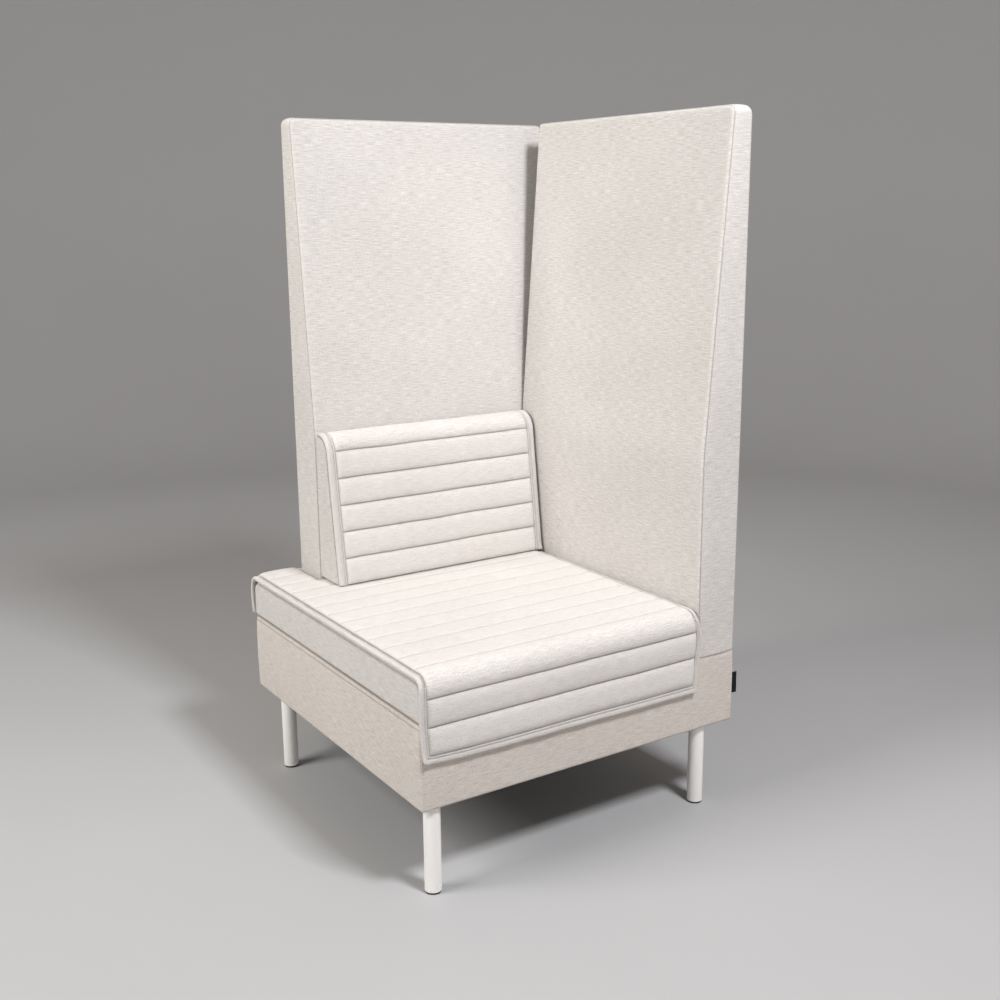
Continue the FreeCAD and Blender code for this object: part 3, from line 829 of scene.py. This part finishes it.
@dataclass
class Quilt:
    """Pillow-like rows between seams, drawn in at their ends, with slight puckers."""
    seams: list
    sewn_distance: callable
    seam_height: callable
    crown: callable
    seed: int

    def row(self, s):
        """The seams before and after, and the distance to the nearer one."""
        seams = np.array(self.seams)
        which = np.clip(np.searchsorted(seams, s, side="right") - 1, 0, len(seams) - 2)
        start = seams[which]
        end = seams[which + 1]
        return start, end, np.maximum(np.minimum(s - start, end - s), 0)

    def height(self, x, s):
        start, end, to_seam = self.row(s)
        t = np.clip(np.abs(2 * (s - start) / (end - start) - 1), 0, 1)
        row = (1 - t ** 3.2) ** 0.5
        pull = np.clip(self.sewn_distance(x, s) / pillow_end, 0, 1)
        ends = (1 - (1 - pull) ** 2.4) ** 0.6
        flat = merged(x, s)
        pucker = pucker_size * ripple(flat * np.array([1, 0.15]), 13 * mm, self.seed)
        pucker = pucker * falling(to_seam, 7 * mm) * (1 - falling(to_seam, 1.5 * mm))
        lumps = lump_size * ripple(flat, 90 * mm, self.seed + 1)
        rise = self.crown(s) - self.seam_height(s) + lumps
        return self.seam_height(s) + (rise * row + pucker) * ends

    # Painted shade near the channel seams and where the cover is drawn in at the tape.
    def closeness(self, x, s):
        to_seam = self.row(s)[2]
        return np.maximum(falling(to_seam, seam_shade_reach),
                          falling(self.sewn_distance(x, s), 1.4 * mm))


def no_seams(x, s):
    return np.zeros_like(x)


def whole(x, s):
    return np.ones(x.shape, bool)


def shell(name, columns, rows, outer_at, inner_at, seam_at, keep, material, body,
          replaced):
    """A closed shell on a grid of stations, without the cells that keep() leaves out."""
    x, s = np.meshgrid(columns, rows)
    count = x.size
    cell = grid_cells(*x.shape)
    kept = np.pad(keep((x[:-1, :-1] + x[1:, 1:]) / 2, (s[:-1, :-1] + s[1:, 1:]) / 2), 1)
    inside = kept[1:-1, 1:-1]
    faces = [cell[inside], cell[inside][:, ::-1] + count]
    neighbours = [(kept[:-2, 1:-1], 0, 1), (kept[1:-1, 2:], 1, 2), (kept[2:, 1:-1], 2, 3),
                  (kept[1:-1, :-2], 3, 0)]
    for neighbour, first, second in neighbours:
        edge = cell[inside & ~neighbour]
        a = edge[:, first]
        b = edge[:, second]
        faces.append(merged(b, a, a + count, b + count))
    faces = np.vstack(faces)
    points = np.vstack([outer_at(x, s).reshape(-1, 3), inner_at(x, s).reshape(-1, 3)])
    detail = np.dstack([x, s, seam_at(x, s)]).reshape(-1, 3)
    used = np.zeros(len(points), bool)
    used[faces] = True
    renumbered = np.cumsum(used) - 1
    mesh = closed_mesh(name, points[used], renumbered[faces], np.vstack([detail, detail])[used])
    return add_piece(name, mesh, material, body, replaced)


def quilt_piece(part, cover, quilt, columns, rows, keep, body):
    piece = shell(part + "_quilted_cover", columns, rows,
                  lambda x, s: cover.at(x, s, quilt.height(x, s)),
                  lambda x, s: cover.at(x, s, hidden_depth), quilt.closeness,
                  keep, quilted_cloth, body, [part + "_quilt"])


# Edge tapes: a fat outer roll, a sewn groove and a flat inner strip, swept round the cover

def tape_ring(width, groove_at):
    """The tape's cross-section: distance in from the cover's edge, and height."""
    radius = groove_at * 0.56
    ring = [(width * 0.98, hidden_depth), (radius * 1.3, -0.6 * mm)]
    for angle in np.linspace(-0.5 * math.pi, 0.40 * math.pi, 11)[1:]:
        ring.append((radius - radius * math.cos(angle),
                     band_height * (0.46 + 0.52 * math.sin(angle))))
    return ring + [
        (groove_at - 1.3 * mm, band_height * 0.94),
        (groove_at - 0.4 * mm, groove_height + 0.6 * mm), (groove_at, groove_height),
        (groove_at + 0.5 * mm, groove_height + 0.5 * mm),
        (groove_at + 1.3 * mm, inner_strip_height), (width * 0.95, inner_strip_height),
        (width * 1.01, 7.0 * mm), (width * 1.03, 5.0 * mm), (width * 1.03, 2.0 * mm),
        (width * 0.98, hidden_depth)]


def straight_steps(last, target, corner_before, corner, spacing):
    steps = max(2, round(np.linalg.norm(corner - corner_before) / spacing))
    return list(last + (target - last) * np.linspace(0, 1, steps + 1)[1:-1, None])


def tape_path(corners, closed, inset, spacing=5 * mm, arc_steps=8):
    """The path of the tape's points at one distance in from the cover's edge."""
    points = []
    for i, corner in enumerate(corners):
        before, after = sides_at(corners, i)
        if not closed and i in (0, len(corners) - 1):
            side = after if i == 0 else before
            turned = [corner + left_of(side) * inset]
        else:
            inwards = -1 if left_of(before) @ after > 0 else 1
            radius = max(band_corner_radius + inwards * inset, smallest_radius)
            inner = corner + inset * (left_of(before) + left_of(after))
            turned = arc(inner, before, after, radius, arc_steps)
        if points:
            points.extend(straight_steps(points[-1], turned[0], corners[i - 1], corner, spacing))
        points.extend(turned)
    if closed:
        points.extend(straight_steps(points[-1], points[0], corners[-1], corners[0], spacing))
        points.append(points[0])
    return np.array(points)


def tape_piece(part, cover, corners, closed, width, groove_at, knots, seed, edges, body):
    """The tape round one cover, fuller where it turns at each knot."""
    ring = np.array(tape_ring(width, groove_at))
    run = run_lengths(tape_path(corners, closed, 0))
    rows = []
    for (inset, height), around in zip(ring, run_lengths(ring)):
        path = tape_path(corners, closed, inset)
        lift = height * (1 + 0.05 * ripple(path, 60 * mm, seed))
        lift = lift + 0.3 * mm * ripple(path, 11 * mm, seed + 1) * min(1, height / (5 * mm))
        for knot in knots:
            near_knot = np.exp(-(np.linalg.norm(path - knot, axis=1) / (8 * mm)) ** 2)
            lift = lift * (1 + 0.45 * near_knot)
        # Painted shade: dark lines in the sewn groove and where the tape meets the quilt.
        at_groove = 0.5 * falling(abs(inset - groove_at), 0.7 * mm)
        at_quilt = 0.8 * falling(abs(inset - width * 1.03), 0.7 * mm)
        rows.append((cover.at(*path.T, lift), np.column_stack([run, np.full(len(run), around)]),
                     np.full(len(run), max(at_groove, at_quilt))))
    patch = patch_of_rows(rows)
    if not closed:
        middles = np.repeat(patch.points.mean(0)[None], len(rows), 0)
        patch = Patch(with_ends(patch.points, middles), with_ends(patch.cloth, patch.cloth),
                      with_ends(patch.seam, patch.seam))
    name = part + "_cover_binding"
    piece = add_piece(name, patch_mesh(name, [patch]), binding_cloth, body,
                      [part + "_binding_" + edge for edge in edges])


def with_ends(rows, ends):
    return np.concatenate([ends[:, :1], rows, ends[:, -1:]], 1)


def straight_line(x0, x1, s):
    x = np.linspace(x0, x1, max(2, round((x1 - x0) / (5 * mm))))
    return np.column_stack([x, np.full(len(x), s)])


def stitching(part, cover, lines, body):
    """Short threads laid end to end along lines of (x, s) points, each at its height."""
    offsets = np.linspace(-0.5, 0.5, 5) * stitch_length
    arch = np.array([-0.5, 0.35, 0.6, 0.35, -0.5]) * thread_radius
    thick = np.array([0.15, 0.9, 1.0, 0.9, 0.15]) * thread_radius
    angles = np.linspace(0, 2 * math.pi, 6)
    patches = []
    for path, height in lines:
        run = run_lengths(path)
        pitch = stitch_length + stitch_gap
        where = (np.arange(int(run[-1] / pitch)) + 0.5)[:, None] * pitch + offsets
        x = np.interp(where, run, path[:, 0])
        s = np.interp(where, run, path[:, 1])
        centre = cover.at(x, s, height + arch)
        normal = (cover.at(x, s, height + arch + 1 * mm) - centre) / mm
        along = np.gradient(centre, axis=1)
        along /= np.linalg.norm(along, axis=-1)[..., None]
        beside = np.cross(along, normal)
        rings = [centre + (beside * math.cos(angle) + normal * math.sin(angle)) * thick[:, None]
                 for angle in angles]
        patches.extend(Patch(ring) for ring in np.stack(rings, 1))
    name = part + "_cover_stitching"
    add_piece(name, patch_mesh(name, patches), thread, body)


def seat_cover():
    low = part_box("seat_binding_left")[0]
    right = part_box("seat_binding_right")[1].x
    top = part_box("seat_pad_cover")[1].z + cover_gap
    panel_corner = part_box("back_panel_cover")[0]
    left = low.x
    front = low.y + band_height
    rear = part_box("seat_binding_rear")[1].y - band_height
    rear_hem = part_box("seat_binding_rear")[0].z
    band = seat_band_width
    quarter_turn = seat_route_radius * math.pi / 2
    front_end = top - low.z - seat_route_radius + quarter_turn
    rear_start = front_end + rear - front - 2 * seat_route_radius
    length = rear_start + quarter_turn + top - seat_route_radius - rear_hem
    notch_x = panel_corner.x - cover_gap
    notch_s = front_end + panel_corner.y - cover_gap - front - seat_route_radius

    def stray(x, s):
        from_left = x - left
        from_right = right - x
        left_edge = falling(from_left, 30 * mm)
        right_edge = falling(from_right, 30 * mm)
        across = (np.interp(s, left_bow_at, left_bow) * left_edge
                  + np.interp(s, right_bow_at, right_bow) * right_edge) * mm
        pattern = np.interp(s, row_shift_at, row_shift) * mm
        hem = (6 * falling(from_left, 40 * mm) - 3 * smooth_step(from_left / 0.6)) * mm
        wobble = 0.4 * mm * ripple(merged(x, s), 0.25, 53)
        wobble = wobble * (1 - np.maximum(left_edge, right_edge))
        along = pattern + hem * smooth_step(1 - s / 0.05) + wobble
        on_top = smooth_step((s - front_end + 10 * mm) / (20 * mm))
        on_top = on_top * smooth_step((rear_start + 25 * mm - s) / (20 * mm))
        droop = -soft_edge_drop * falling(from_left, soft_edge_reach) * on_top
        flare = 2.5 * mm * smooth_step(1 - s / 0.06)
        behind = np.clip((s - rear_start - 5 * mm) / (length - rear_start + 10 * mm), 0, 1)
        fold = 10 * mm * np.sin(math.pi * behind ** 0.75) + 3 * mm * behind
        return across, along, droop + flare + fold

    cover = Cover([(front, low.z), (front, top), (rear, top), (rear, rear_hem)],
                  [seat_route_radius, seat_route_radius], stray)
    seams = seams_from([band], channel_pitch, length - band - channel_pitch / 4)
    seams.append(length - band)

    def sewn_distance(x, s):
        sides = np.minimum.reduce([x - left, right - x, s, length - s]) - band
        beside = notch_x - band - x
        before = notch_s - band - s
        corner = np.where((beside > 0) & (before > 0), np.hypot(beside, before),
                          np.maximum(beside, before))
        return np.minimum(sides, corner)

    def on_top(s):
        rise = smooth_step((s - front_end + 55 * mm) / (60 * mm))
        return rise * smooth_step((rear_start + 45 * mm - s) / (60 * mm))

    quilt = Quilt(seams, sewn_distance, lambda s: 4.5 * mm + 4.7 * mm * on_top(s),
                  lambda s: 14 * mm - 1.5 * mm * on_top(s), 51)
    tuck = band * 0.8
    columns = joined([graded(left + tuck, notch_x - tuck, 0.7, 6 * mm),
                      np.linspace(notch_x - tuck, notch_x + tuck, 5),
                      graded(notch_x + tuck, right - tuck, 0.85, 6 * mm)])
    rows = quilt_rows([tuck] + seams[1:-1] + [length - tuck])
    cut = notch_s - tuck
    rows[np.abs(rows - cut).argmin()] = cut

    def keep(x, s):
        return (x < notch_x - tuck) | (s < cut)

    quilt_piece("seat", cover, quilt, columns, rows, keep, "base")
    corners = np.array([(left, 0), (right, 0), (right, notch_s), (notch_x, notch_s),
                        (notch_x, length), (left, length)])
    groove_at = band * 0.7
    tape_piece("seat", cover, corners, True, band, groove_at, corners[:2], 57,
               ("left", "right", "front", "rear", "notch"), "base")
    lines = [(tape_path(corners, True, groove_at, 2 * mm), groove_height + thread_lift)]
    for seam in seams[1:-1]:
        end = right if seam < notch_s - band else notch_x
        height = float(quilt.seam_height(seam)) + 2 * thread_lift
        lines.append((straight_line(left + band, end - band, seam), height))
    stitching("seat", cover, lines, "base")


def cushion_cover():
    low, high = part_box("cushion_cover")
    left = low.x
    right = high.x
    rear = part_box("cushion_binding_left")[1].y - band_height
    tail_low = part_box("cushion_binding_rear")[0].z
    band = cushion_band_width

    def stray(x, s):
        inside = smooth_step(np.minimum(x - left, right - x) / (60 * mm))
        return 0, 0.6 * mm * ripple(merged(x, s), 0.2, 63) * inside * smooth_step(s / 0.03), 0

    front = low.y - cover_gap
    top = high.z + cover_gap
    cover = Cover([(front, low.z), (front + cushion_slope(), top), (rear, top),
                   (rear, tail_low)], [cushion_front_radius, cushion_rear_radius], stray)
    length = cover.length
    seams = seams_from([0.0, cushion_first_seam], cushion_pitch, length - band) + [length]

    def sewn_distance(x, s):
        return np.minimum.reduce([x - left, right - x, length - s]) - band

    def crown(s):
        return 13.5 * mm - 5 * mm * smooth_step((s - length + 0.13) / 0.04)

    quilt = Quilt(seams, sewn_distance, lambda s: np.full_like(s, cushion_seam_height), crown,
                  61)
    tuck = band * 0.85
    columns = graded(left + tuck, right - tuck, 0.75, 6 * mm)
    rows = quilt_rows(seams[:-1] + [length - tuck])
    quilt_piece("cushion", cover, quilt, columns, rows, whole, "cushion")
    corners = np.array([(right, 0), (right, length), (left, length), (left, 0)])
    groove_at = band * 0.76
    tape_piece("cushion", cover, corners, False, band, groove_at, corners[:1], 67,
               ("left", "right", "rear"), "cushion")
    lines = [(tape_path(corners, False, groove_at, 2 * mm), groove_height + thread_lift)]
    for seam in seams[1:-1]:
        height = cushion_seam_height + 2 * thread_lift
        lines.append((straight_line(left + band, right - band, seam), height))
    stitching("cushion", cover, lines, "cushion")


# Dust cover under the base, with its staples, and the blank tab

def dust_cover():
    low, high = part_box("dust_cover")
    gap = 2 * mm
    openings = []
    for leg in ("leg_front_left", "leg_front_right", "leg_rear_left", "leg_rear_right"):
        leg_low, leg_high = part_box(leg)
        openings.append((leg_low.x - gap, leg_high.x + gap, leg_low.y - gap, leg_high.y + gap))

    def stations(first, last, cuts):
        marks = [first] + sorted({round(cut, 5) for cut in cuts}) + [last]
        return joined([np.linspace(a, b, max(2, round((b - a) / (20 * mm)) + 1))
                       for a, b in zip(marks, marks[1:])])

    columns = stations(low.x, high.x, [x for opening in openings for x in opening[:2]])
    rows = stations(low.y, high.y, [y for opening in openings for y in opening[2:]])

    def sag(x, y):
        inset = np.minimum.reduce([x - low.x, high.x - x, y - low.y, high.y - y])
        loose = smooth_step(inset / (120 * mm))
        return 1.5 * mm * loose * (1 + 0.5 * ripple(merged(x, y), 0.18, 71))

    def layer(height):
        return lambda x, y: merged(x, y, height - sag(x, y))

    def keep(x, y):
        kept = np.ones(x.shape, bool)
        for x0, x1, y0, y1 in openings:
            kept &= ~((x > x0) & (x < x1) & (y > y0) & (y < y1))
        return kept

    piece = shell("dust_cover_cloth", columns, rows, layer(high.z - 0.2 * mm), layer(low.z),
                  no_seams, keep, dust_cloth, "base", ["dust_cover"])
    staples(low, high)


def staples(low, high):
    """Flat staple crowns along the dust cover's edges."""
    half_length = 5 * mm
    half_width = 0.6 * mm
    half_height = 0.45 * mm
    inset = 7 * mm
    ends = 60 * mm
    crowns = [(x, y, half_length, half_width) for y in (low.y + inset, high.y - inset)
              for x in np.arange(low.x + ends, high.x - ends, staple_pitch)]
    crowns += [(x, y, half_width, half_length) for x in (low.x + inset, high.x - inset)
               for y in np.arange(low.y + ends, high.y - ends, staple_pitch)]
    box_faces = np.array([(0, 1, 3, 2), (4, 6, 7, 5), (0, 4, 5, 1), (2, 3, 7, 6), (0, 2, 6, 4),
                          (1, 5, 7, 3)])
    points = []
    faces = []
    for x, y, half_x, half_y in crowns:
        faces.append(box_faces + len(points))
        points.extend((x_end, y_end, z_end) for x_end in (x - half_x, x + half_x)
                      for y_end in (y - half_y, y + half_y)
                      for z_end in (low.z - half_height, low.z + half_height))
    mesh = closed_mesh("dust_cover_staples", np.array(points), np.vstack(faces),
                       np.zeros((len(points), 3)))
    mesh.shade_flat()
    add_piece("dust_cover_staples", mesh, steel)


def side_tab():
    """A blank strip of black cloth, folded double, its two ends sewn into the base's seam."""
    low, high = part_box("side_tab")
    bend = 0.7 * mm
    reach = high.x - low.x - bend
    turned = reach + math.pi * bend
    cloth_length = turned + reach
    columns = joined([np.linspace(0, reach, 10), np.linspace(reach, turned, 9),
                      np.linspace(turned, cloth_length, 10)])
    rows = np.linspace(low.z, high.z, 19)
    middle = (low.y + high.y) / 2

    def layer(offset):
        def at(u, z):
            turn = np.clip((u - reach) / bend, 0, math.pi)
            along = np.where(u < reach, u, np.where(u < turned, reach, cloth_length - u))
            radius = bend + offset
            curl = 1.2 * mm * (along / reach) ** 2 * (1 + 0.3 * np.sin(z / (9 * mm)))
            return merged(low.x + along + radius * np.sin(turn),
                          middle - radius * np.cos(turn) - curl, z)
        return at

    half = tab_cloth_thickness / 2
    piece = shell("side_tab_cloth", columns, rows, layer(half), layer(-half), no_seams, whole,
                  tab_cloth, "base", ("side_tab",))


# Camera, floor and light

def camera():
    lens = bpy.data.cameras.new("camera")
    lens.sensor_width = sensor_width
    lens.lens = focal_length_pixels / picture_width * sensor_width
    seen_from = placed("camera", lens)
    turned = (Matrix.Rotation(-camera_yaw, 4, "Z")
              @ Matrix.Rotation(math.pi / 2 - camera_pitch, 4, "X")
              @ Matrix.Rotation(camera_roll, 4, "Z"))
    seen_from.matrix_world = Matrix.Translation(camera_place) @ turned
    bpy.context.scene.camera = seen_from


def studio_floor():
    """A round floor that curves up into a low wall, open above."""
    flat_radius = 3.4
    bend = 1.6
    wall_top = 4.2
    angles = np.linspace(0, math.pi / 2, 14)
    radius = np.concatenate([[0.0], flat_radius + bend * np.sin(angles), [flat_radius + bend]])
    height = np.concatenate([[0.0], bend * (1 - np.cos(angles)), [wall_top]])
    turns = np.linspace(0, 2 * math.pi, 97)
    points = merged(radius[:, None] * np.cos(turns), radius[:, None] * np.sin(turns),
                    height[:, None] + 0 * turns)
    mesh = patch_mesh("floor", [Patch(points)])
    mesh.materials.append(floor_material())
    placed("floor", mesh)


def softbox(name, place, target, size, power, colour):
    lamp = bpy.data.lights.new(name, "AREA")
    lamp.shape = "SQUARE"
    lamp.size = size
    lamp.energy = power
    lamp.color = colour
    holder = placed(name, lamp)
    holder.location = place
    aim = Vector(target) - Vector(place)
    holder.rotation_euler = aim.to_track_quat("-Z", "Y").to_euler()
    holder.visible_camera = False


def studio_light():
    softbox("front_light", (0.19, -2.2, 3.15), (0.1, 0.2, 0.8), 0.6, 96, (0.985, 0.99, 1.02))
    softbox("left_light", (-3.1, 0.25, 2.5), (0.2, 0, 0.6), 1.7, 98, (1.0, 0.98, 0.95))
    softbox("low_front_fill", (0.5, -2.9, 0.9), (0, 0, 0.5), 1.6, 6, (1.0, 0.84, 0.70))
    world = bpy.data.worlds.new("studio")
    world.use_nodes = True
    background = world.node_tree.nodes["Background"]
    background.inputs["Color"].default_value = (1.0, 0.87, 0.74, 1)
    background.inputs["Strength"].default_value = 0.23
    bpy.context.scene.world = world


bpy.context.scene.view_settings.view_transform = "Standard"
camera()
studio_floor()
studio_light()
finish_frame_nodes()
base_upholstery()
seat_pad()
side_panel()
back_panel()
cushion_body()
seat_cover()
cushion_cover()
dust_cover()
side_tab()
